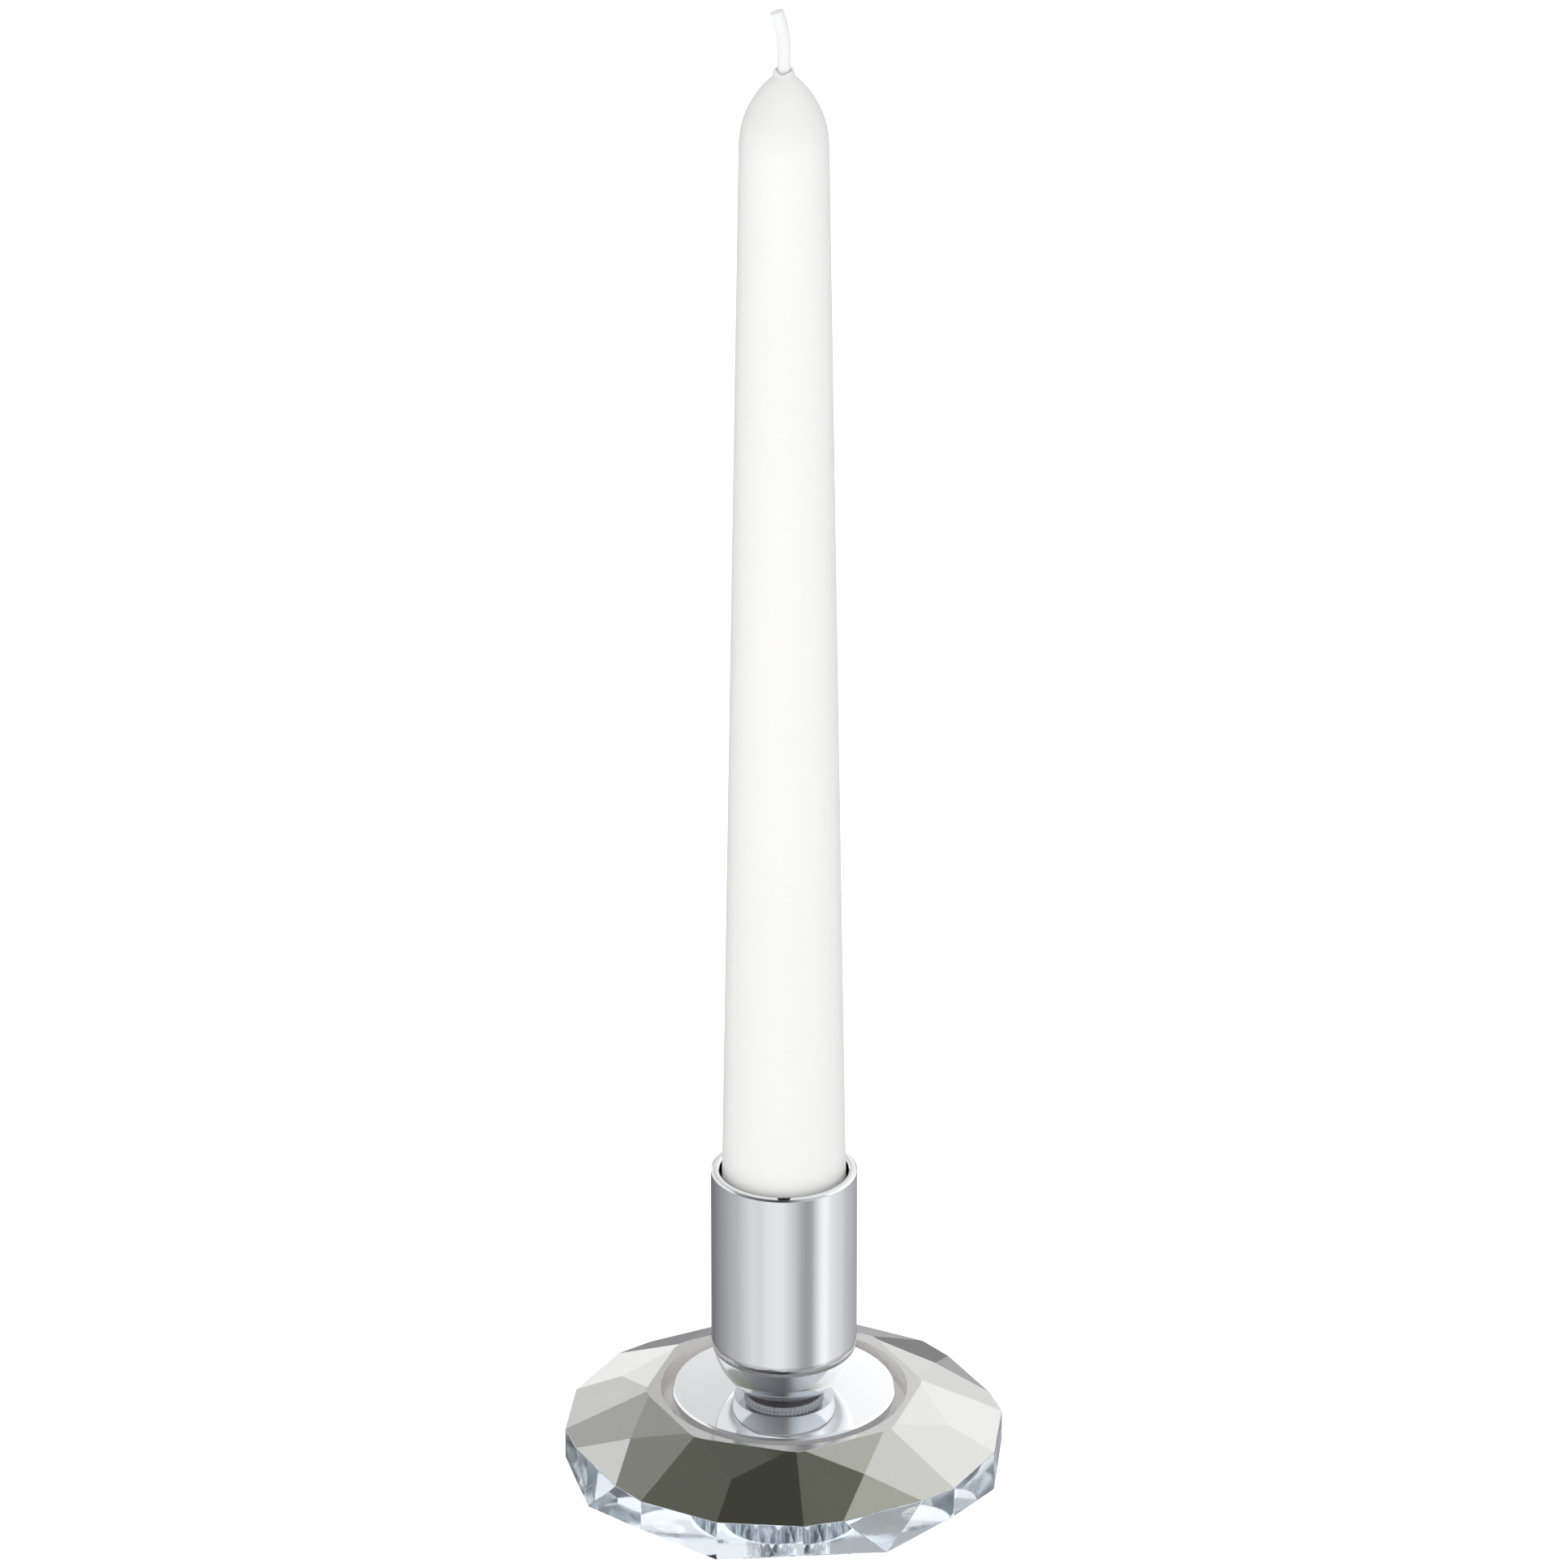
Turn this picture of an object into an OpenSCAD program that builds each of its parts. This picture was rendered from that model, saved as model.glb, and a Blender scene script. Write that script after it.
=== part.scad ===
// Glass candlestick: a faceted glass base with a mirror disc let into its table,
// a round-bottomed metal cup that stands on it, and a tapered candle.
// Millimetres, +Z up. The origin is on the surface that the bumper pads stand on,
// under the axis of the cup.

/* [Glass base] */
// Distance across two opposite corners of the sixteen-sided outline
base_d = 78.8; // [76:0.2:90]
// Height of the glass from its underside to its flat table
base_h = 14.6; // [13.4:0.2:18]
// Height of the girdle, the upper end of the upright side faces
girdle_h = 7.7; // [6:0.1:8.4]
// Height of the bevel cut into the lower edge between two feet corners
notch_h = 2; // [0.5:0.1:4]
// Distance of the table's ridge corners from the axis
table_r = 24.8; // [24.2:0.1:26]
// Turn of the whole cut about the axis
cut_turn = 5; // [0:1:45]
// Angle by which each main facet is turned from its ridge
main_index = 12.2; // [11.5:0.1:12.8]
// Distance of the star facets' table edges from the axis
star_edge_r = 23.2; // [22.8:0.1:23.6]
// Distance of the star facets' outer points from the axis
star_tip_r = 30.8; // [29:0.1:32]

/* [Disc and its recess] */
// Diameter of the round recess in the table
recess_d = 44.2; // [42:0.2:45]
// Depth of the round recess
recess_depth = 4; // [3:0.1:5]
// Diameter of the mirror disc
disc_d = 40; // [34:0.2:41]
// Thickness of the soft gasket under the disc
gasket_t = 0.6; // [0.3:0.1:1]

/* [Collar] */
// Height of the collar between the disc and the cup
collar_h = 1.7; // [1.2:0.1:4]
// Radius of the collar's plain neck
collar_neck_r = 4.9; // [4.5:0.1:6]
// Radius of the collar's fluted flange
collar_flange_r = 7.2; // [6.5:0.1:8.5]
// Number of flutes round the collar's flange
flute_count = 60; // [12:1:72]

/* [Candle cup] */
// Outer diameter of the cup
cup_d = 26; // [25:0.1:32]
// Height of the cup from the collar to the rim
cup_h = 42.2; // [36:0.1:60]
// Radius of the cup's flat foot, where the round bottom is cut off
cup_foot_r = 9; // [8.6:0.1:10]
// Diameter of the candle socket
socket_d = 23; // [22.4:0.1:23.6]
// Depth of the candle socket
socket_depth = 24; // [18:0.5:26]

/* [Candle] */
// Diameter of the candle at the socket
candle_d = 22; // [20:0.1:22.2]
// Length of the wax above the rim, up to the shoulder
candle_rise = 193.5; // [60:0.5:260]
// Radius of the wax at the shoulder
shoulder_r = 7.7; // [6:0.1:9]
// Radius of the curve from the shoulder to the neck
ogive_r = 16.9; // [14:0.1:30]
// Diameter of the wick
wick_d = 2.4; // [1.6:0.1:3]
// Angle by which the wick's end is bent over
wick_bend = 21; // [5:1:60]

/* [Base fixing] */
// Diameter of the fixing screw's shank
screw_d = 5; // [4:0.5:5]
// Diameter of the screw's counterbore in the underside
counterbore_d = 19; // [16:0.5:24]
// Height of the bumper pads
pad_h = 1; // [0.5:0.1:3]
// Diameter of one bumper pad
pad_d = 8; // [5:0.5:10]

/* [Hidden] */
$fn = 96;
eps = 0.01;                                   // overlap that keeps cuts clean
big = 200;                                    // larger than the whole base

// the base's cut: eight ridges, with a corner of the outline on and between them
ridge_count = 8;
ridge_step = 360 / ridge_count;
corner_turn = ridge_step / 2;                 // from a ridge to the corner beside it
base_r = base_d / 2;
base_z = pad_h;
table_z = base_z + base_h;
main_rise = (base_h - girdle_h) / (base_r - table_r);   // along a ridge
main_slope = atan(main_rise / cos(main_index));
main_edge_r = table_r * cos(main_index);      // table edge of a main facet
corner_lean = cos(corner_turn - main_index);
star_tip_z = table_z - tan(main_slope) * (star_tip_r * corner_lean - main_edge_r);
star_slope = atan((table_z - star_tip_z) / (star_tip_r - star_edge_r));
// every second corner carries a kite facet and a side triangle below it
kite_share = 0.525;                           // how far along an outline side the kite ends
kite_end_r = base_r * (kite_share * cos(corner_turn) + 1 - kite_share);
kite_end_lean = kite_share * cos(main_index) + (1 - kite_share) * corner_lean;
kite_end_z = table_z - tan(main_slope) * (base_r * kite_end_lean - main_edge_r);
kite_slope = atan((star_tip_z - kite_end_z) / (kite_end_r - star_tip_r));
side_slope = atan((kite_end_z - base_z) / (base_r - kite_end_r));
notch_edge_r = base_r * cos(corner_turn);
notch_slope = 180 - atan(notch_h / (base_r - notch_edge_r));

// disc
disc_t = recess_depth - gasket_t;
disc_z = table_z - disc_t;
disc_chamfer = 0.35;
gasket_d = disc_d - 3;
gasket_hole_d = 14;

// collar
flange_t = 0.85;
flute_w = 0.36;
flute_depth = 0.4;

// cup
cup_r = cup_d / 2;
cup_z = table_z + collar_h;
rim_z = cup_z + cup_h;
dome_z = cup_z + sqrt(cup_r * cup_r - cup_foot_r * cup_foot_r);
socket_z = rim_z - socket_depth;
rim_chamfer = 0.3;
mouth_chamfer = 0.25;
thread_depth = 11;
thread_gap = 0.05;

// underside stack, from the glass down
counterbore_depth = 6.3;
web_z = base_z + counterbore_depth;           // underside of the glass web
clearance_d = screw_d + 0.4;
bush_d = 7.8;
bush_hole_d = 8;
rubber_t = 0.8;
steel_t = 1;
lock_t = 1.2;
rubber_z = web_z - rubber_t;
steel_z = rubber_z - steel_t;
lock_z = steel_z - lock_t;
head_h = 2.4;
head_d = 9;
head_chamfer = 0.5;
key_across_corners = 3.5;
key_depth = 1.5;
screw_end_gap = 0.6;
lock_split = 0.8;
pad_ring_r = 28;
pad_count = 4;
pad_top_share = 0.8;                          // a pad's top diameter against its foot's

// candle
candle_r = candle_d / 2;
candle_z = socket_z;
shoulder_z = rim_z + candle_rise;
neck_r = 2;
neck_top_r = 1.7;
neck_h = 1.6;
ogive_axis_r = shoulder_r - ogive_r;
ogive_end = asin(sqrt(ogive_r * ogive_r - pow(neck_r - ogive_axis_r, 2)) / ogive_r);
neck_z = shoulder_z + ogive_r * sin(ogive_end);
ogive_steps = 12;
butt_chamfer = 0.8;
wick_r = wick_d / 2;
wick_hole_r = wick_r + 0.1;
wick_straight = 4.8;                          // from the neck to the start of the bend
wick_bend_r = 19;
wick_bend_z = neck_z + wick_straight;

// Takes away all that is beyond a plane: the plane faces AZIMUTH, leans back by SLOPE
// from level, and passes through the point at radius R and height Z on that azimuth.
module facet_cut(azimuth, slope, r, z) {
    rotate([0, 0, azimuth]) translate([r, 0, z]) rotate([0, slope, 0])
        translate([-big / 2, -big / 2, 0]) cube(big);
}

module ring(d_out, d_in, z, h) {
    translate([0, 0, z]) difference() {
        cylinder(d = d_out, h = h);
        translate([0, 0, -eps]) cylinder(d = d_in, h = h + 2 * eps);
    }
}

// The block before the facets: a regular prism with a corner on every ridge and between.
module glass_blank() {
    corners = [for (i = [0 : 2 * ridge_count - 1])
        base_r * [cos(cut_turn + i * corner_turn), sin(cut_turn + i * corner_turn)]];
    translate([0, 0, base_z]) linear_extrude(base_h) polygon(corners);
}

module crown_cuts() {
    for (i = [0 : ridge_count - 1]) {
        ridge = cut_turn + i * ridge_step;
        corner = ridge + corner_turn;
        facet_cut(ridge - main_index, main_slope, main_edge_r, table_z);
        facet_cut(ridge + main_index, main_slope, main_edge_r, table_z);
        facet_cut(corner, star_slope, star_edge_r, table_z);
    }
}

module kite_cuts() {
    for (i = [0 : 2 : ridge_count - 1]) {
        corner = cut_turn + i * ridge_step + corner_turn;
        facet_cut(corner, kite_slope, star_tip_r, star_tip_z);
        facet_cut(corner, side_slope, base_r, base_z);
    }
}

module notch_cuts() {
    for (i = [0 : ridge_count - 1])
        facet_cut(cut_turn + i * ridge_step, notch_slope, notch_edge_r, base_z);
}

module glass_base() {
    color("silver") difference() {
        glass_blank();
        crown_cuts();
        kite_cuts();
        notch_cuts();
        translate([0, 0, table_z - recess_depth]) cylinder(d = recess_d, h = big);
        cylinder(d = bush_hole_d, h = big);
        translate([0, 0, web_z - big]) cylinder(d = counterbore_d, h = big);
    }
}

module bumper_pads() {
    color("whitesmoke") for (i = [0 : pad_count - 1])
        rotate([0, 0, cut_turn + (i + 0.5) * 360 / pad_count]) translate([pad_ring_r, 0, 0])
            cylinder(d1 = pad_d, d2 = pad_d * pad_top_share, h = pad_h);
}

module disc_gasket() {
    color("white") ring(gasket_d, gasket_hole_d, table_z - recess_depth, gasket_t);
}

module mirror_disc() {
    color("gainsboro") difference() {
        union() {
            translate([0, 0, disc_z])
                cylinder(d1 = disc_d - 2 * disc_chamfer, d2 = disc_d, h = disc_chamfer);
            translate([0, 0, disc_z + disc_chamfer])
                cylinder(d = disc_d, h = disc_t - 2 * disc_chamfer);
            translate([0, 0, table_z - disc_chamfer])
                cylinder(d1 = disc_d, d2 = disc_d - 2 * disc_chamfer, h = disc_chamfer);
        }
        cylinder(d = clearance_d, h = big);
    }
}

module knurled_collar() {
    color("lightgray") difference() {
        union() {
            translate([0, 0, table_z]) cylinder(r = collar_neck_r, h = collar_h);
            translate([0, 0, cup_z - flange_t]) cylinder(r = collar_flange_r, h = flange_t);
        }
        for (i = [0 : flute_count - 1]) rotate([0, 0, (i + 0.5) * 360 / flute_count])
            translate([collar_flange_r - flute_depth, -flute_w / 2, cup_z - 2 * flange_t])
                cube([2 * flute_depth, flute_w, 3 * flange_t]);
        cylinder(d = clearance_d, h = big);
    }
}

module candle_cup() {
    color("silver") difference() {
        union() {
            intersection() {
                translate([0, 0, dome_z]) sphere(r = cup_r);
                translate([0, 0, cup_z]) cylinder(r = 2 * cup_r, h = dome_z - cup_z);
            }
            translate([0, 0, dome_z]) cylinder(r = cup_r, h = rim_z - rim_chamfer - dome_z);
            translate([0, 0, rim_z - rim_chamfer])
                cylinder(r1 = cup_r, r2 = cup_r - rim_chamfer, h = rim_chamfer);
        }
        translate([0, 0, socket_z]) cylinder(d = socket_d, h = big);
        translate([0, 0, rim_z - mouth_chamfer])
            cylinder(d1 = socket_d, d2 = socket_d + 2 * mouth_chamfer, h = mouth_chamfer + eps);
        translate([0, 0, cup_z - eps])
            cylinder(r = screw_d / 2 + thread_gap, h = thread_depth + eps);
    }
}

module glass_bush() {
    color("white") ring(bush_d, clearance_d, web_z, table_z - recess_depth - web_z);
}

module rubber_washer() {
    color("white") ring(counterbore_d - 2, clearance_d, rubber_z, rubber_t);
}

module steel_washer() {
    color("silver") ring(counterbore_d - 3, clearance_d, steel_z, steel_t);
}

module lock_washer() {
    color("gray") difference() {
        ring(head_d, clearance_d, lock_z, lock_t);
        translate([0, -lock_split / 2, lock_z - eps])
            cube([head_d, lock_split, lock_t + 2 * eps]);
    }
}

module fixing_screw() {
    color("darkgray") difference() {
        union() {
            translate([0, 0, lock_z - head_h])
                cylinder(d1 = head_d - 2 * head_chamfer, d2 = head_d, h = head_chamfer);
            translate([0, 0, lock_z - head_h + head_chamfer])
                cylinder(d = head_d, h = head_h - head_chamfer);
            translate([0, 0, lock_z - eps])
                cylinder(d = screw_d, h = cup_z + thread_depth - screw_end_gap - lock_z);
        }
        translate([0, 0, lock_z - head_h - eps])
            cylinder(d = key_across_corners, h = key_depth + eps, $fn = 6);
    }
}

module candle() {
    ogive = [for (i = [0 : ogive_steps]) let (a = i * ogive_end / ogive_steps)
        [ogive_axis_r + ogive_r * cos(a), shoulder_z + ogive_r * sin(a)]];
    color("ivory") rotate_extrude() polygon(concat(
        [[wick_hole_r, candle_z], [candle_r - butt_chamfer, candle_z],
         [candle_r, candle_z + butt_chamfer], [candle_r, rim_z]],
        ogive,
        [[neck_top_r, neck_z + neck_h], [wick_hole_r, neck_z + neck_h]]));
}

module wick() {
    color("white") {
        translate([0, 0, candle_z]) cylinder(r = wick_r, h = wick_bend_z - candle_z);
        translate([-wick_bend_r, 0, wick_bend_z]) rotate([90, 0, 0])
            rotate_extrude(angle = wick_bend) translate([wick_bend_r, 0]) circle(r = wick_r);
    }
}

glass_base();
bumper_pads();
disc_gasket();
mirror_disc();
knurled_collar();
candle_cup();
glass_bush();
rubber_washer();
steel_washer();
lock_washer();
fixing_screw();
candle();
wick();
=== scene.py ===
import math

import bmesh
import bpy
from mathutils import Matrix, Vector


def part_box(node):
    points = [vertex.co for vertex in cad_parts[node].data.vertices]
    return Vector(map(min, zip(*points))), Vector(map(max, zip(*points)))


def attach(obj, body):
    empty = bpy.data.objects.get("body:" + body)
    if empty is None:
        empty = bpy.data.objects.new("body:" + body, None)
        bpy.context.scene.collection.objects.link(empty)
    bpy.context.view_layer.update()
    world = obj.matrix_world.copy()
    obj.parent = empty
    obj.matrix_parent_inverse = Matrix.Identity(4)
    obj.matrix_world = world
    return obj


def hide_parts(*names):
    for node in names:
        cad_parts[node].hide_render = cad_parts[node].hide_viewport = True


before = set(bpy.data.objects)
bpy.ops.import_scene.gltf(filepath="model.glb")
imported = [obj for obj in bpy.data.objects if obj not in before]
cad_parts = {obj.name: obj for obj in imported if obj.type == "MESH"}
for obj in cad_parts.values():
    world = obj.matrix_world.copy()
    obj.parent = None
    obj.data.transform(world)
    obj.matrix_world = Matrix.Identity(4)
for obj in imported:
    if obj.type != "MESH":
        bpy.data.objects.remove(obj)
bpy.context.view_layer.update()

MM = 0.001
TURN = 2 * math.pi
SEGMENTS = 160                 # around a turned piece
FINE_SEGMENTS = 256            # around a polished piece, which shows its corners

HOLDER = "holder"
TAPER = "taper"


# ---------------------------------------------------------------- camera

CAMERA_Y = -1.5146             # metres in front of the axis
CAMERA_Z = 0.8319
CAMERA_TILT = 24.725           # degrees below level
CAMERA_LENS = 219.8            # millimetres, on the default 36 mm sensor


def make_camera():
    data = bpy.data.cameras.new("camera")
    data.lens = CAMERA_LENS
    data.clip_end = 20
    camera = bpy.data.objects.new("camera", data)
    camera.location = (0, CAMERA_Y, CAMERA_Z)
    camera.rotation_euler = (math.radians(90 - CAMERA_TILT), 0, 0)
    bpy.context.scene.collection.objects.link(camera)
    bpy.context.scene.camera = camera


make_camera()


# ---------------------------------------------------------------- what the frame says

def low(node):
    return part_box(node)[0]


def high(node):
    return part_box(node)[1]


def ring_radii(node, z):
    """The different radii of a turned node's corners at height z, from the smallest."""
    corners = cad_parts[node].data.vertices
    radii = sorted(v.co.xy.length for v in corners if abs(v.co.z - z) < 0.01 * MM)
    kept = []
    for r in radii:
        if not kept or r - kept[-1] > 0.05 * MM:
            kept.append(r)
    return kept


def ring_heights(node, radius):
    """The different heights of a turned node's corners at that radius, from the lowest."""
    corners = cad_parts[node].data.vertices
    heights = sorted(v.co.z for v in corners if abs(v.co.xy.length - radius) < 0.03 * MM)
    kept = []
    for z in heights:
        if not kept or z - kept[-1] > 0.05 * MM:
            kept.append(z)
    return kept


# ---------------------------------------------------------------- mesh helpers

def new_object(name, mesh, body, *nodes):
    obj = bpy.data.objects.new(name, mesh)
    bpy.context.scene.collection.objects.link(obj)
    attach(obj, body)
    if nodes:
        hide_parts(*nodes)
    return obj


def fillet(points, radii, steps=5):
    """The closed outline through POINTS, with each corner rounded to its own radius."""
    count = len(points)
    outline = []
    for i, (corner, radius) in enumerate(zip(points, radii)):
        here = Vector(corner)
        back = Vector(points[i - 1]) - here
        ahead = Vector(points[(i + 1) % count]) - here
        turn = math.pi - back.angle(ahead)
        if radius <= 0 or turn < 0.01:
            outline.append(here)
            continue
        reach = radius * math.tan(turn / 2)
        start = here + back.normalized() * reach
        centre_way = (back.normalized() + ahead.normalized()).normalized()
        centre = here + centre_way * (radius / math.cos(turn / 2))
        spoke = start - centre
        side = 1 if back.cross(ahead) < 0 else -1
        for k in range(steps + 1):
            a = side * turn * k / steps
            outline.append(centre + Vector((spoke.x * math.cos(a) - spoke.y * math.sin(a),
                                            spoke.x * math.sin(a) + spoke.y * math.cos(a))))
    return outline


def lathe(name, outline, segments=SEGMENTS):
    """A closed solid turned from a closed outline of (radius, height) points.
    A point on the axis stays one point."""
    bm = bmesh.new()
    loops = []
    for r, z in outline:
        if r < 1e-7:
            loops.append([bm.verts.new((0, 0, z))])
        else:
            loops.append([bm.verts.new((r * math.cos(TURN * i / segments),
                                        r * math.sin(TURN * i / segments), z))
                          for i in range(segments)])
    for a, b in zip(loops, loops[1:] + loops[:1]):
        if len(a) == 1 and len(b) == 1:
            continue
        for i in range(segments):
            j = (i + 1) % segments
            corners = [a[i % len(a)], b[i % len(b)], b[j % len(b)], a[j % len(a)]]
            bm.faces.new(dict.fromkeys(corners))
    bmesh.ops.recalc_face_normals(bm, faces=bm.faces)
    mesh = bpy.data.meshes.new(name)
    bm.to_mesh(mesh)
    bm.free()
    shade_smooth(mesh)
    return mesh


def shade_smooth(mesh, sharp=30):
    for face in mesh.polygons:
        face.use_smooth = True
    mesh.set_sharp_from_angle(angle=math.radians(sharp))


# ---------------------------------------------------------------- material helpers

def principled(name, color, **sockets):
    mat = bpy.data.materials.new(name)
    mat.use_nodes = True
    shader = mat.node_tree.nodes["Principled BSDF"]
    shader.inputs["Base Color"].default_value = (*color, 1)
    for socket, value in sockets.items():
        shader.inputs[socket.replace("_", " ")].default_value = value
    return mat, mat.node_tree, shader


def noise(tree, scale, stretch=(1, 1, 1), **sockets):
    """Noise in object space; SCALE is in cycles per metre."""
    coord = tree.nodes.new("ShaderNodeTexCoord")
    mapping = tree.nodes.new("ShaderNodeMapping")
    mapping.inputs["Scale"].default_value = stretch
    tex = tree.nodes.new("ShaderNodeTexNoise")
    tex.inputs["Scale"].default_value = scale
    for socket, value in sockets.items():
        tex.inputs[socket.replace("_", " ")].default_value = value
    tree.links.new(coord.outputs["Object"], mapping.inputs["Vector"])
    tree.links.new(mapping.outputs["Vector"], tex.inputs["Vector"])
    return tex.outputs["Fac"]


def spread(tree, value, low_value, high_value, start=0.35, end=0.65):
    """Maps a texture's middle range onto LOW_VALUE to HIGH_VALUE."""
    node = tree.nodes.new("ShaderNodeMapRange")
    node.inputs["From Min"].default_value = start
    node.inputs["From Max"].default_value = end
    node.inputs["To Min"].default_value = low_value
    node.inputs["To Max"].default_value = high_value
    tree.links.new(value, node.inputs["Value"])
    return node.outputs["Result"]


def mix_colors(tree, value, first, second):
    node = tree.nodes.new("ShaderNodeValToRGB")
    node.color_ramp.elements[0].color = (*first, 1)
    node.color_ramp.elements[1].color = (*second, 1)
    node.color_ramp.elements[0].position = 0.3
    node.color_ramp.elements[1].position = 0.7
    tree.links.new(value, node.inputs["Fac"])
    return node.outputs["Color"]


def mix(tree, factor, a, b):
    node = tree.nodes.new("ShaderNodeMix")
    node.data_type = "RGBA"
    tree.links.new(factor, node.inputs["Factor"])
    tree.links.new(a, node.inputs["A"])
    tree.links.new(b, node.inputs["B"])
    return node.outputs["Result"]


def bump(tree, shader, height, strength, distance):
    node = tree.nodes.new("ShaderNodeBump")
    node.inputs["Strength"].default_value = strength
    node.inputs["Distance"].default_value = distance
    tree.links.new(height, node.inputs["Height"])
    tree.links.new(node.outputs["Normal"], shader.inputs["Normal"])


# ---------------------------------------------------------------- materials

def clear_glass():
    mat, tree, shader = principled("clear_glass", (0.885, 0.92, 0.945), Roughness=0.0,
                                   IOR=1.5, Transmission_Weight=1.0)
    cords = noise(tree, 60, Detail=1.0)
    bump(tree, shader, cords, 0.06, 0.4 * MM)
    return mat


def mirror_coating():
    """A vapour coating: smoky grey with a fine grain outside, silver seen through the glass."""
    mat, tree, shader = principled("mirror_coating", (0.6, 0.6, 0.585), Metallic=1.0)
    grain = noise(tree, 9000, Detail=2.0)
    haze = noise(tree, 90, Detail=3.0)
    tree.links.new(spread(tree, haze, 0.06, 0.1), shader.inputs["Roughness"])
    outside = mix_colors(tree, grain, (0.575, 0.578, 0.56), (0.625, 0.625, 0.612))
    inside = mix_colors(tree, haze, (0.9, 0.915, 0.93), (0.93, 0.94, 0.95))
    side = tree.nodes.new("ShaderNodeNewGeometry")
    tone = mix(tree, side.outputs["Backfacing"], outside, inside)
    tree.links.new(tone, shader.inputs["Base Color"])
    bump(tree, shader, grain, 0.12, 0.01 * MM)
    return mat


def recess_lacquer():
    """The silvering's pale backing lacquer; silver where it is seen through the glass."""
    mat, tree, shader = principled("recess_lacquer", (0.8, 0.76, 0.74))
    grain = noise(tree, 1200, Detail=3.0)
    side = tree.nodes.new("ShaderNodeNewGeometry")
    behind = side.outputs["Backfacing"]
    outside = mix_colors(tree, grain, (0.92, 0.89, 0.875), (0.95, 0.92, 0.905))
    inside = mix_colors(tree, grain, (0.9, 0.915, 0.93), (0.93, 0.94, 0.95))
    tree.links.new(mix(tree, behind, outside, inside), shader.inputs["Base Color"])
    tree.links.new(spread(tree, behind, 0.35, 0.03, 0, 1), shader.inputs["Roughness"])
    tree.links.new(behind, shader.inputs["Metallic"])
    bump(tree, shader, grain, 0.1, 0.02 * MM)
    return mat


def polished_metal():
    """Polished metal with the faintest turning lines and wiping marks."""
    mat, tree, shader = principled("cup_metal", (0.8, 0.81, 0.82), Metallic=1.0)
    wipe = noise(tree, 70, stretch=(1, 1, 0.35), Detail=4.0)
    tree.links.new(spread(tree, wipe, 0.03, 0.054), shader.inputs["Roughness"])
    turning = noise(tree, 1500, stretch=(0.004, 0.004, 1), Detail=1.0)
    bump(tree, shader, turning, 0.05, 0.01 * MM)
    return mat


def pearl_mirror():
    """Silvered pearl lacquer: a sharp reflection over a soft white ground."""
    mat, tree, shader = principled("pearl_mirror", (0.9, 0.92, 0.95), Metallic=0.88)
    wipe = noise(tree, 70, Detail=4.0)
    tree.links.new(spread(tree, wipe, 0.01, 0.025), shader.inputs["Roughness"])
    cloud = noise(tree, 200, Detail=2.0)
    tree.links.new(mix_colors(tree, cloud, (0.92, 0.935, 0.955), (0.93, 0.945, 0.965)),
                   shader.inputs["Base Color"])
    return mat


def dark_steel():
    mat, tree, shader = principled("dark_steel", (0.34, 0.31, 0.32), Metallic=1.0)
    lines = noise(tree, 1500, stretch=(0.01, 0.01, 1), Detail=2.0)
    tree.links.new(spread(tree, lines, 0.2, 0.35), shader.inputs["Roughness"])
    bump(tree, shader, lines, 0.1, 0.01 * MM)
    return mat


def satin_silver():
    mat, tree, shader = principled("satin_silver", (0.95, 0.95, 0.96), Metallic=0.2)
    grain = noise(tree, 3000, Detail=3.0)
    tree.links.new(spread(tree, grain, 0.2, 0.35), shader.inputs["Roughness"])
    bump(tree, shader, grain, 0.1, 0.01 * MM)
    return mat


def plated_steel():
    mat, tree, shader = principled("plated_steel", (0.62, 0.63, 0.65), Metallic=1.0)
    mottle = noise(tree, 900, Detail=4.0)
    tree.links.new(spread(tree, mottle, 0.24, 0.38), shader.inputs["Roughness"])
    tone = mix_colors(tree, mottle, (0.57, 0.58, 0.6), (0.68, 0.69, 0.7))
    tree.links.new(tone, shader.inputs["Base Color"])
    bump(tree, shader, mottle, 0.2, 0.02 * MM)
    return mat


def white_silicone():
    mat, tree, shader = principled("white_silicone", (0.9, 0.9, 0.9))
    grain = noise(tree, 2500, Detail=4.0)
    tree.links.new(spread(tree, grain, 0.4, 0.6), shader.inputs["Roughness"])
    tree.links.new(mix_colors(tree, grain, (0.88, 0.89, 0.9), (0.92, 0.93, 0.94)),
                   shader.inputs["Base Color"])
    bump(tree, shader, grain, 0.3, 0.03 * MM)
    return mat


def nylon():
    mat, tree, shader = principled("nylon", (0.86, 0.86, 0.84), Subsurface_Weight=0.2,
                                   Subsurface_Scale=1 * MM)
    grain = noise(tree, 1200, Detail=3.0)
    tree.links.new(spread(tree, grain, 0.32, 0.5), shader.inputs["Roughness"])
    bump(tree, shader, grain, 0.15, 0.02 * MM)
    return mat


def soft_clear_plastic():
    mat, tree, shader = principled("soft_clear_plastic", (0.93, 0.96, 0.97), IOR=1.45,
                                   Transmission_Weight=0.9)
    grain = noise(tree, 800, Detail=3.0)
    tree.links.new(spread(tree, grain, 0.12, 0.25), shader.inputs["Roughness"])
    bump(tree, shader, grain, 0.15, 0.02 * MM)
    return mat


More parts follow.
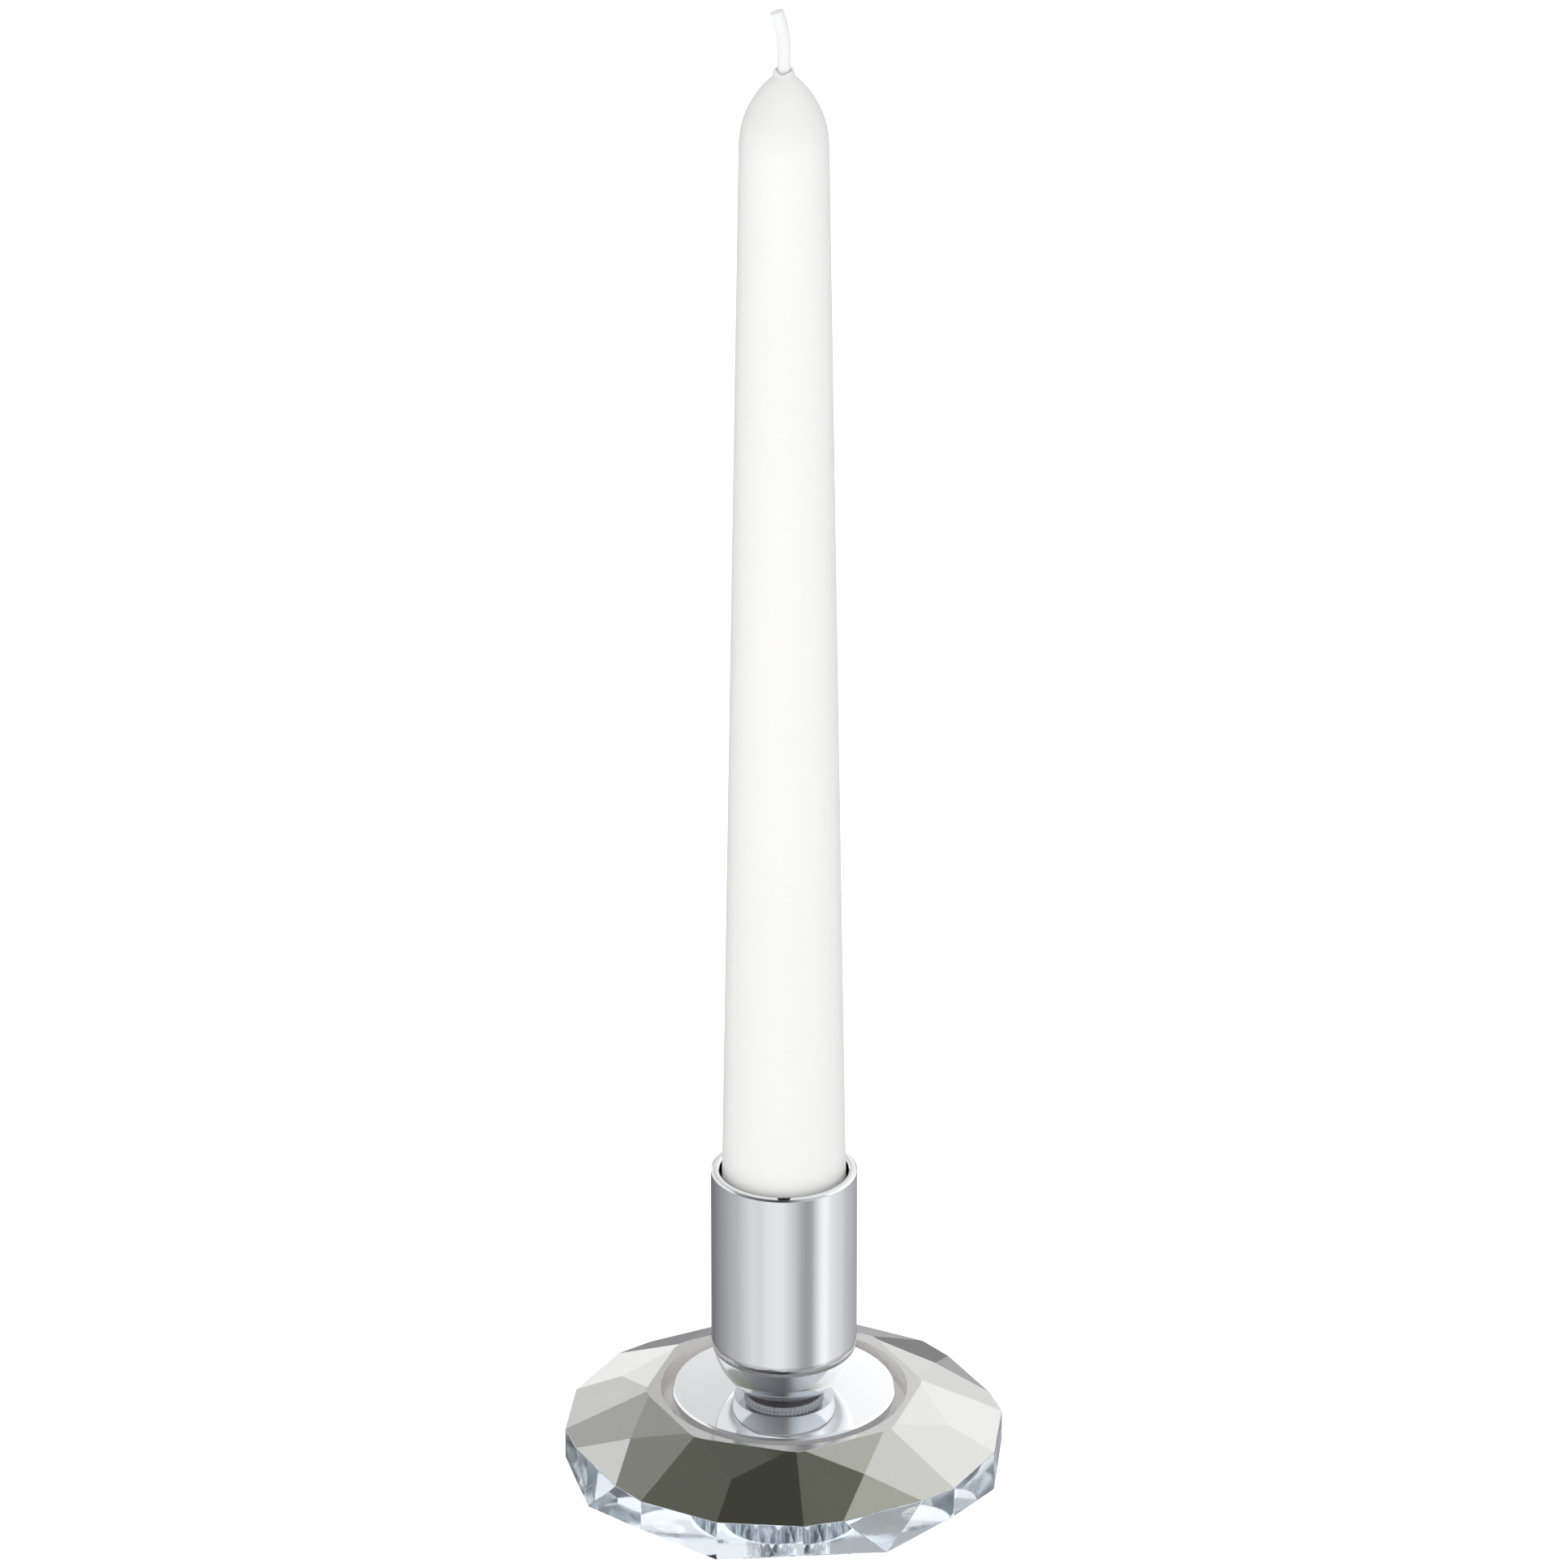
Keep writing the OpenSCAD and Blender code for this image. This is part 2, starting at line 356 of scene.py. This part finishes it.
def wax():
    mat, tree, shader = principled("wax", (0.775, 0.775, 0.754), IOR=1.44,
                                   Subsurface_Weight=0.35, Subsurface_Scale=3 * MM,
                                   Subsurface_Radius=(1.0, 0.8, 0.6))
    cloud = noise(tree, 45, stretch=(1, 1, 0.3), Detail=3.0)
    tone = mix_colors(tree, cloud, (0.785, 0.785, 0.763), (0.8, 0.799, 0.78))
    tree.links.new(tone, shader.inputs["Base Color"])
    skin = noise(tree, 420, stretch=(1, 1, 0.4), Detail=4.0)
    tree.links.new(spread(tree, skin, 0.38, 0.5), shader.inputs["Roughness"])
    bump(tree, shader, skin, 0.12, 0.05 * MM)
    return mat


def waxed_cotton():
    mat, tree, shader = principled("waxed_cotton", (0.8, 0.804, 0.808), Sheen_Weight=0.2,
                                   Subsurface_Weight=0.2, Subsurface_Scale=0.6 * MM)
    fibres = noise(tree, 3000, stretch=(1, 1, 0.12), Detail=4.0)
    tree.links.new(spread(tree, fibres, 0.55, 0.7), shader.inputs["Roughness"])
    tone = mix_colors(tree, fibres, (0.774, 0.778, 0.783), (0.817, 0.821, 0.826))
    tree.links.new(tone, shader.inputs["Base Color"])
    bump(tree, shader, fibres, 0.25, 0.04 * MM)
    return mat


def light_table():
    """A white light table: opal acrylic, lit a little from below."""
    mat, tree, shader = principled("light_table", (0.8, 0.8, 0.8), Roughness=0.9)
    shader.inputs["Specular IOR Level"].default_value = 0.1
    grain = noise(tree, 400, Detail=3.0)
    tree.links.new(mix_colors(tree, grain, (0.8, 0.8, 0.8), (0.81, 0.81, 0.81)),
                   shader.inputs["Base Color"])
    shader.inputs["Emission Color"].default_value = (1, 1, 1, 1)
    shader.inputs["Emission Strength"].default_value = 0.75
    return mat


GLASS = clear_glass()
COATING = mirror_coating()
LACQUER = recess_lacquer()
CUP_METAL = polished_metal()
DISC_FINISH = pearl_mirror()
NECK_STEEL = dark_steel()
TOOTH_SILVER = satin_silver()
STEEL = plated_steel()
RUBBER = white_silicone()
NYLON = nylon()
PAD_PLASTIC = soft_clear_plastic()
WAX = wax()
COTTON = waxed_cotton()


# ---------------------------------------------------------------- glass base

FACET_EDGE = 0.09 * MM         # width of the polished edge between two facets
FLAT_ENOUGH = math.radians(2)  # faces that meet at less than this are one facet
GLASS_SLOT, COATING_SLOT, LACQUER_SLOT = range(3)


def finish_of(face, recess_r):
    """The face's material slot: lacquer in the recess and bore and on the underside,
    coating on the table and the crown, and clear glass on the sides."""
    outermost = max(v.co.xy.length for v in face.verts)
    if outermost < recess_r + FACET_EDGE or face.normal.z < -0.99:
        return LACQUER_SLOT
    return COATING_SLOT if face.normal.z > 0.5 else GLASS_SLOT


def faceted_glass():
    """The glass base with a fine polished edge between its facets."""
    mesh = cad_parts["glass_base"].data.copy()
    mesh.name = "faceted_glass"
    mesh.attributes.remove(mesh.attributes["custom_normal"])
    recess_r = ring_radii("glass_base", high("glass_base").z)[0]
    bm = bmesh.new()
    bm.from_mesh(mesh)
    bmesh.ops.remove_doubles(bm, verts=bm.verts, dist=0.001 * MM)
    bmesh.ops.dissolve_limit(bm, angle_limit=math.radians(0.2), verts=bm.verts,
                             edges=bm.edges)
    facet_edges = []
    for edge in bm.edges:
        if len(edge.link_faces) != 2 or edge.calc_face_angle() < FLAT_ENOUGH:
            continue
        inside = min(v.co.xy.length for v in edge.verts) < recess_r + 0.1 * MM
        if not inside:
            facet_edges.append(edge)
    bmesh.ops.bevel(bm, geom=facet_edges, offset=FACET_EDGE, segments=2, profile=0.5,
                    affect="EDGES", clamp_overlap=True)
    bm.normal_update()
    mesh.materials.clear()
    for material in (GLASS, COATING, LACQUER):
        mesh.materials.append(material)
    for face in bm.faces:
        face.material_index = finish_of(face, recess_r)
        centre = face.calc_center_median()
        face.smooth = centre.xy.length < recess_r and abs(face.normal.z) < 0.5
    for edge in bm.edges:
        edge.smooth = edge.calc_face_angle() < math.radians(30)
    bm.to_mesh(mesh)
    bm.free()
    base = new_object("faceted_glass", mesh, HOLDER, "glass_base")


# ---------------------------------------------------------------- turned metal

DOME_STEPS = 40                # along the cup's round bottom


def turned_disc():
    """The mirror disc, with a softly rounded chamfer."""
    bottom, top = low("mirror_disc").z, high("mirror_disc").z
    radius = high("mirror_disc").x
    flat_r = ring_radii("mirror_disc", top)[-1]
    hole_r = ring_radii("mirror_disc", top)[0]
    chamfer = radius - flat_r
    points = [(hole_r, bottom), (flat_r, bottom), (radius, bottom + chamfer),
              (radius, top - chamfer), (flat_r, top), (hole_r, top)]
    outline = fillet(points, [0, 0.1 * MM, 0.1 * MM, 0.06 * MM, 0.06 * MM, 0])
    mesh = lathe("turned_disc", outline, segments=FINE_SEGMENTS)
    mesh.materials.append(DISC_FINISH)
    disc = new_object("turned_disc", mesh, HOLDER, "mirror_disc")


def turned_cup():
    """The candle cup: round bottom, straight wall, small bright chamfers at the rim."""
    bottom, rim = low("candle_cup").z, high("candle_cup").z
    radius = high("candle_cup").x
    mouth_r, flat_r = ring_radii("candle_cup", rim)
    foot_r = ring_radii("candle_cup", bottom)[-1]
    thread_r = ring_radii("candle_cup", bottom)[0]
    thread_top = ring_heights("candle_cup", thread_r)[-1]
    chamfer = radius - flat_r
    dome_z = bottom + math.sqrt(radius ** 2 - foot_r ** 2)
    socket_r = ring_radii("candle_cup", low("candle").z)[-1]
    floor_z = low("candle").z
    start = math.atan2(bottom - dome_z, foot_r)
    dome = [(radius * math.cos(start * (1 - i / DOME_STEPS)),
             dome_z + radius * math.sin(start * (1 - i / DOME_STEPS)))
            for i in range(DOME_STEPS + 1)]
    mouth = mouth_r - socket_r
    points = ([(0, thread_top), (thread_r, thread_top), (thread_r, bottom)] + dome
              + [(radius, rim - chamfer), (flat_r, rim), (mouth_r, rim),
                 (socket_r, rim - mouth), (socket_r, floor_z), (0, floor_z)])
    radii = ([0, 0, 0.05 * MM] + [0.12 * MM] + [0] * DOME_STEPS
             + [0.08 * MM, 0.08 * MM, 0.08 * MM, 0.08 * MM, 0.3 * MM, 0])
    mesh = lathe("turned_cup", fillet(points, radii), segments=FINE_SEGMENTS)
    mesh.materials.append(CUP_METAL)
    cup = new_object("turned_cup", mesh, HOLDER, "candle_cup")


FLUTES = 60                    # round the collar, as in the frame
FLUTE_STEPS = 8                # corners round the collar for each flute


def flute_share(x, y):
    """How far into a flute a point on the flange's side is, from 0 to 1."""
    step = round(math.atan2(y, x) / TURN * FLUTES * FLUTE_STEPS) % FLUTE_STEPS
    return min(1.0, max(0.0, (FLUTE_STEPS / 2 - abs(step - FLUTE_STEPS / 2) - 1) / 2))


def fluted_collar():
    """The collar under the cup: a dark neck and a bright flange, fluted round its side."""
    node = "knurled_collar"
    bottom, top = low(node).z, high(node).z
    hole_r, neck_r = ring_radii(node, bottom)
    root_r, flange_r = ring_radii(node, top)[-2:]
    under = ring_heights(node, flange_r)[0]
    edge = 0.08 * MM
    outline = [(hole_r, bottom), (neck_r, bottom), (neck_r, under), (root_r, under),
               (flange_r - edge, under), (flange_r, under + edge), (flange_r, top - edge),
               (flange_r - edge, top), (hole_r, top)]
    mesh = lathe("fluted_collar", outline, segments=FLUTES * FLUTE_STEPS)
    for v in mesh.vertices:
        radius = v.co.xy.length
        if radius > root_r + edge / 2:
            depth = flute_share(v.co.x, v.co.y) * (radius - root_r)
            v.co.xy *= (radius - depth) / radius
    for material in (TOOTH_SILVER, NECK_STEEL):
        mesh.materials.append(material)
    for face in mesh.polygons:
        face.material_index = int(face.center.xy.length < root_r - edge)
        face.use_smooth = face.center.xy.length < neck_r + edge and abs(face.normal.z) < 0.1
    collar = new_object("fluted_collar", mesh, HOLDER, node)


def moulded_gasket():
    """The silicone ring under the disc, with rounded edges and a hair of air on both
    sides, because a face that touches the glass renders black through it."""
    bottom, top = low("disc_gasket").z, high("disc_gasket").z
    hole_r, radius = ring_radii("disc_gasket", top)
    air = 0.04 * MM
    points = [(hole_r, bottom + air), (radius, bottom + air), (radius, top - air),
              (hole_r, top - air)]
    mesh = lathe("moulded_gasket", fillet(points, [0.15 * MM] * 4))
    mesh.materials.append(RUBBER)
    gasket = new_object("moulded_gasket", mesh, HOLDER, "disc_gasket")


# ---------------------------------------------------------------- candle

LIP_HEIGHT = 1.6 * MM          # how far down from the top the wavy lip reaches
LIP_DIP = 0.675 * MM           # how far the lip dips in its middle, at the front


def candle_outline():
    """Height and radius of the wax, from the frame's own corners."""
    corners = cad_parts["candle"].data.vertices
    hole_r = ring_radii("candle", low("candle").z)[0]
    outer = {}
    for v in corners:
        r = v.co.xy.length
        if r > hole_r + 0.05 * MM:
            outer[round(v.co.z / MM, 2)] = r
    return hole_r, [(outer[z], z * MM) for z in sorted(outer)]


def taper_wax():
    """The wax body: dipped, so that its shoulder is soft and its neck has a wavy lip."""
    hole_r, outline = candle_outline()
    top = high("candle").z
    mesh_outline = [(hole_r, low("candle").z)] + smooth_profile(outline) + [(hole_r, top)]
    mesh = lathe("taper_wax", mesh_outline, segments=128)
    lip_start = top - LIP_HEIGHT
    for v in mesh.vertices:
        if v.co.z > lip_start:
            share = (v.co.z - lip_start) / LIP_HEIGHT
            a = math.atan2(v.co.y, v.co.x)
            dip = 0.5 + 0.5 * math.sin(-a) + 0.22 * math.sin(3 * a + 0.7)
            v.co.z -= LIP_DIP * share * max(0, dip)
    shade_smooth(mesh, sharp=40)
    mesh.materials.append(WAX)
    candle = new_object("taper_wax", mesh, TAPER, "candle")
    candle.visible_glossy = False      # keeps the front facets dark and plain


def smooth_profile(points, steps=6):
    """A Catmull-Rom curve through the profile's shoulder; its straight ends stay."""
    shoulder = [i for i, (_, z) in enumerate(points) if z > high("candle_cup").z + MM]
    first, last = shoulder[0], shoulder[-1]
    result = list(points[:first])
    for i in range(first, last):
        p0 = Vector(points[max(i - 1, first)])
        p1, p2 = Vector(points[i]), Vector(points[i + 1])
        p3 = Vector(points[min(i + 2, last)])
        for k in range(steps):
            t = k / steps
            result.append(tuple(0.5 * (2 * p1 + (p2 - p0) * t
                                       + (2 * p0 - 5 * p1 + 4 * p2 - p3) * t ** 2
                                       + (3 * p1 - p0 - 3 * p2 + p3) * t ** 3)))
    result.append(points[last])
    return result


WICK_BEND_R = 19 * MM          # radius of the wick's curve
WICK_BEND = math.radians(21)   # how far its end leans over
WICK_RINGS = 60
WICK_SIDES = 48


def wick_centre(length, bend_z):
    """Point and direction on the wick's centre line, LENGTH above its foot."""
    foot = low("wick").z
    straight = bend_z - foot
    if length <= straight:
        return Vector((0, 0, foot + length)), 0.0
    a = (length - straight) / WICK_BEND_R
    return Vector((-WICK_BEND_R * (1 - math.cos(a)), 0,
                   bend_z + WICK_BEND_R * math.sin(a))), a


def braided_wick():
    """A flat braided wick: it widens a little to its cut end and is folded lengthwise."""
    radius = high("wick").x
    foot = low("wick").z
    tip = WICK_BEND_R * math.sin(WICK_BEND) + 1.03 * radius * math.sin(WICK_BEND)
    bend_z = high("wick").z - tip
    visible = high("candle").z - 3 * MM
    lengths = [0.0, visible - foot]
    total = bend_z - foot + WICK_BEND_R * WICK_BEND
    step = (total - lengths[-1]) / WICK_RINGS
    lengths += [lengths[1] + step * (i + 1) for i in range(WICK_RINGS)]
    bm = bmesh.new()
    rings = []
    for length in lengths:
        centre, lean = wick_centre(length, bend_z)
        side = Vector((math.cos(lean), 0, math.sin(lean)))
        share = max(0.0, (length - lengths[1]) / (total - lengths[1]))
        ring = []
        for k in range(WICK_SIDES):
            a = TURN * k / WICK_SIDES
            groove = 0.07 * math.exp(-((a - 1.5 * math.pi) / 0.28) ** 2)
            plait = 0.012 * math.sin(6 * a) * math.sin(TURN * length / (1.1 * MM))
            r = radius * (1 - groove + plait - 0.02)
            x = r * math.cos(a) * (0.97 + 0.08 * share)
            y = r * math.sin(a) * 0.92
            ring.append(bm.verts.new(centre + side * x + Vector((0, y, 0))))
        rings.append(ring)
    for a, b in zip(rings, rings[1:]):
        for k in range(WICK_SIDES):
            j = (k + 1) % WICK_SIDES
            bm.faces.new((a[k], a[j], b[j], b[k]))
    bm.faces.new(reversed(rings[0]))
    bm.faces.new(rings[-1])
    bmesh.ops.recalc_face_normals(bm, faces=bm.faces)
    mesh = bpy.data.meshes.new("braided_wick")
    bm.to_mesh(mesh)
    bm.free()
    shade_smooth(mesh, sharp=50)
    mesh.materials.append(COTTON)
    wick = new_object("braided_wick", mesh, TAPER, "wick")


# ---------------------------------------------------------------- CAD nodes that stay

def finish_node(node, material):
    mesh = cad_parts[node].data
    mesh.materials.clear()
    mesh.materials.append(material)
    shade_smooth(mesh)


faceted_glass()
turned_disc()
turned_cup()
fluted_collar()
moulded_gasket()
taper_wax()
braided_wick()
for name, material in {
    "bumper_pads": PAD_PLASTIC,
    "glass_bush": NYLON,
    "rubber_washer": RUBBER,
    "steel_washer": STEEL,
    "lock_washer": STEEL,
    "fixing_screw": STEEL,
}.items():
    finish_node(name, material)


# ---------------------------------------------------------------- floor and light

FLOOR_HALF = 3.0               # metres from the middle of the floor to its edge
MATT_SHARE = 0.35              # how much of the studio's walls lights matt surfaces


def make_floor():
    bm = bmesh.new()
    corners = [(-1, -1), (1, -1), (1, 1), (-1, 1)]
    bm.faces.new([bm.verts.new((x * FLOOR_HALF, y * FLOOR_HALF, 0)) for x, y in corners])
    mesh = bpy.data.meshes.new("floor")
    bm.to_mesh(mesh)
    bm.free()
    mesh.materials.append(light_table())
    floor = bpy.data.objects.new("floor", mesh)
    bpy.context.scene.collection.objects.link(floor)
    floor.visible_glossy = False       # the metal mirrors the studio, not the table


def grey(value, warm=0.0):
    return (value, value * (1 + 0.02 * warm), value * (1 - 0.18 * warm), 1)


def ramp(tree, factor, stops):
    node = tree.nodes.new("ShaderNodeValToRGB")
    elements = node.color_ramp.elements
    while len(elements) < len(stops):
        elements.new(0.5)
    for element, (position, color) in zip(elements, stops):
        element.position = position
        element.color = color
    tree.links.new(factor, node.inputs["Fac"])
    return node.outputs["Color"]


def math_node(tree, operation, *values):
    node = tree.nodes.new("ShaderNodeMath")
    node.operation = operation
    for socket, value in zip(node.inputs, values):
        if isinstance(value, (int, float)):
            socket.default_value = value
        else:
            tree.links.new(value, socket)
    return node.outputs[0]


def smooth_step(tree, value, start, end):
    node = tree.nodes.new("ShaderNodeMapRange")
    node.interpolation_type = "SMOOTHSTEP"
    node.inputs["From Min"].default_value = start
    node.inputs["From Max"].default_value = end
    tree.links.new(value, node.inputs["Value"])
    return node.outputs["Result"]


def sky_side(stops):
    """Ramp stops from (degrees above level, brightness); the ceiling is a little warm."""
    result = []
    for elevation, value in sorted(stops):
        warm = max(0.0, min(1.0, (elevation - 30) / 25)) * max(0.0, min(1.0, 1.15 - value))
        result.append((math.sin(math.radians(elevation)), grey(value, warm)))
    return result


def bands(stops):
    """Ramp stops from (degrees to the right of +Y, brightness); the darks are bluish."""
    return [((turn + 180) / 360, grey(value, -0.35 * max(0, 1 - value)))
            for turn, value in stops]


def make_studio():
    """A studio drawn by direction: a dark ceiling, bright side walls, a brighter right
    side, and, below the level of the table top, upright bands of light and shade. Its
    brightnesses were fitted to tones read off the photo."""
    world = bpy.data.worlds.new("studio")
    bpy.context.scene.world = world
    world.use_nodes = True
    tree = world.node_tree
    tree.nodes.clear()
    coord = tree.nodes.new("ShaderNodeTexCoord")
    split = tree.nodes.new("ShaderNodeSeparateXYZ")
    tree.links.new(coord.outputs["Generated"], split.inputs["Vector"])
    x, y, z = split.outputs
    right = ramp(tree, z, sky_side([
        (0, 0.7), (4, 1.0), (22, 1.4), (32, 1.33), (45, 1.2), (57, 1.0), (61, 0.78),
        (66, 0.6), (72, 0.22), (78, 0.12), (90, 0.08)]))
    left = ramp(tree, z, sky_side([
        (0, 1.35), (9, 1.32), (11, 0.85), (22, 0.75), (30, 0.58), (38, 0.48), (46, 0.34),
        (55, 0.25), (66, 0.15), (78, 0.075), (90, 0.07)]))
    rightness = ramp(tree, math_node(tree, "MULTIPLY_ADD", x, 0.5, 0.5), [
        ((side + 1) / 2, grey(share)) for side, share in
        [(-0.45, 0), (-0.17, 0.03), (-0.011, 0.215), (0.011, 0.53), (0.38, 1)]])
    walls = mix(tree, rightness, left, right)
    panel_edge = math_node(tree, "MULTIPLY", smooth_step(tree, x, -0.49, -0.54),
                           smooth_step(tree, z, 0.67, 0.62))
    panel = tree.nodes.new("ShaderNodeRGB")
    panel.outputs[0].default_value = grey(0.98)
    above = mix(tree, panel_edge, walls, panel.outputs[0])
    front = ramp(tree, math_node(tree, "MULTIPLY_ADD", x, 0.5, 0.5), [
        ((side + 1) / 2, (value * 0.95, value, value * 1.06, 1)) for side, value in
        [(-1, 0.45), (-0.5, 0.17), (-0.25, 0.11), (0, 0.07), (0.1, 0.14), (0.25, 0.42),
         (0.45, 0.66), (0.8, 0.78)]])
    above = mix(tree, smooth_step(tree, y, 0.0, -0.12), above, front)
    turn = math_node(tree, "ADD", math_node(
        tree, "DIVIDE", math_node(tree, "ARCTAN2", x, y), TURN), 0.5)
    below_left = ramp(tree, math_node(tree, "MULTIPLY", turn, 2), [
        (2 * position, color) for position, color in bands([
            (-180, 0.93), (-170, 0.96), (-154, 0.92), (-142, 0.8), (-130, 0.83),
            (-121, 0.76), (-111, 0.67), (-102, 0.56), (-86, 0.5), (-74, 0.41),
            (-60, 0.34), (-43, 0.26), (-30, 0.2), (-12, 0.25), (-4, 0.34), (0, 0.42)])])
    below_right = ramp(tree, math_node(tree, "MULTIPLY_ADD", turn, 2, -1), [
        (2 * position - 1, color) for position, color in bands([
            (0, 0.42), (2.5, 0.5), (8, 0.1), (12, 0.45), (25, 0.41), (49, 0.54),
            (65, 0.62), (78, 0.78), (90, 0.85), (100, 0.92), (112, 1.15), (119, 1.04),
            (127, 0.8), (136, 0.45), (144, 0.4), (153, 0.48), (164, 0.69), (172, 0.78),
            (180, 0.92)])])
    below = mix(tree, math_node(tree, "GREATER_THAN", x, 0.0), below_left, below_right)
    sky = mix(tree, smooth_step(tree, math_node(tree, "MULTIPLY", z, -1), 0.0, 0.2),
              above, below)
    background = tree.nodes.new("ShaderNodeBackground")
    output = tree.nodes.new("ShaderNodeOutputWorld")
    tree.links.new(sky, background.inputs["Color"])
    path = tree.nodes.new("ShaderNodeLightPath")
    tree.links.new(spread(tree, path.outputs["Is Diffuse Ray"], 1.0, MATT_SHARE, 0, 1),
                   background.inputs["Strength"])
    tree.links.new(background.outputs["Background"], output.inputs["Surface"])


def soft_panel(name, location, target, size, power):
    """A large soft light that fills the scene but stays out of its reflections."""
    data = bpy.data.lights.new(name, "AREA")
    data.shape = "SQUARE"
    data.size = size
    data.energy = power
    light = bpy.data.objects.new(name, data)
    light.location = location
    way = Vector(target) - Vector(location)
    light.rotation_euler = way.to_track_quat("-Z", "Y").to_euler()
    light.visible_glossy = False
    light.visible_transmission = False
    bpy.context.scene.collection.objects.link(light)


make_floor()
make_studio()
soft_panel("top_panel", (0, 0, 2.2), (0, 0, 0), 3.0, 36)
soft_panel("front_panel", (-0.35, -2.2, 1.0), (0, 0, 0.12), 1.4, 26)
bpy.context.scene.view_settings.view_transform = "Standard"
bpy.context.scene.cycles.max_bounces = 24
bpy.context.scene.cycles.glossy_bounces = 16
bpy.context.scene.cycles.transmission_bounces = 16
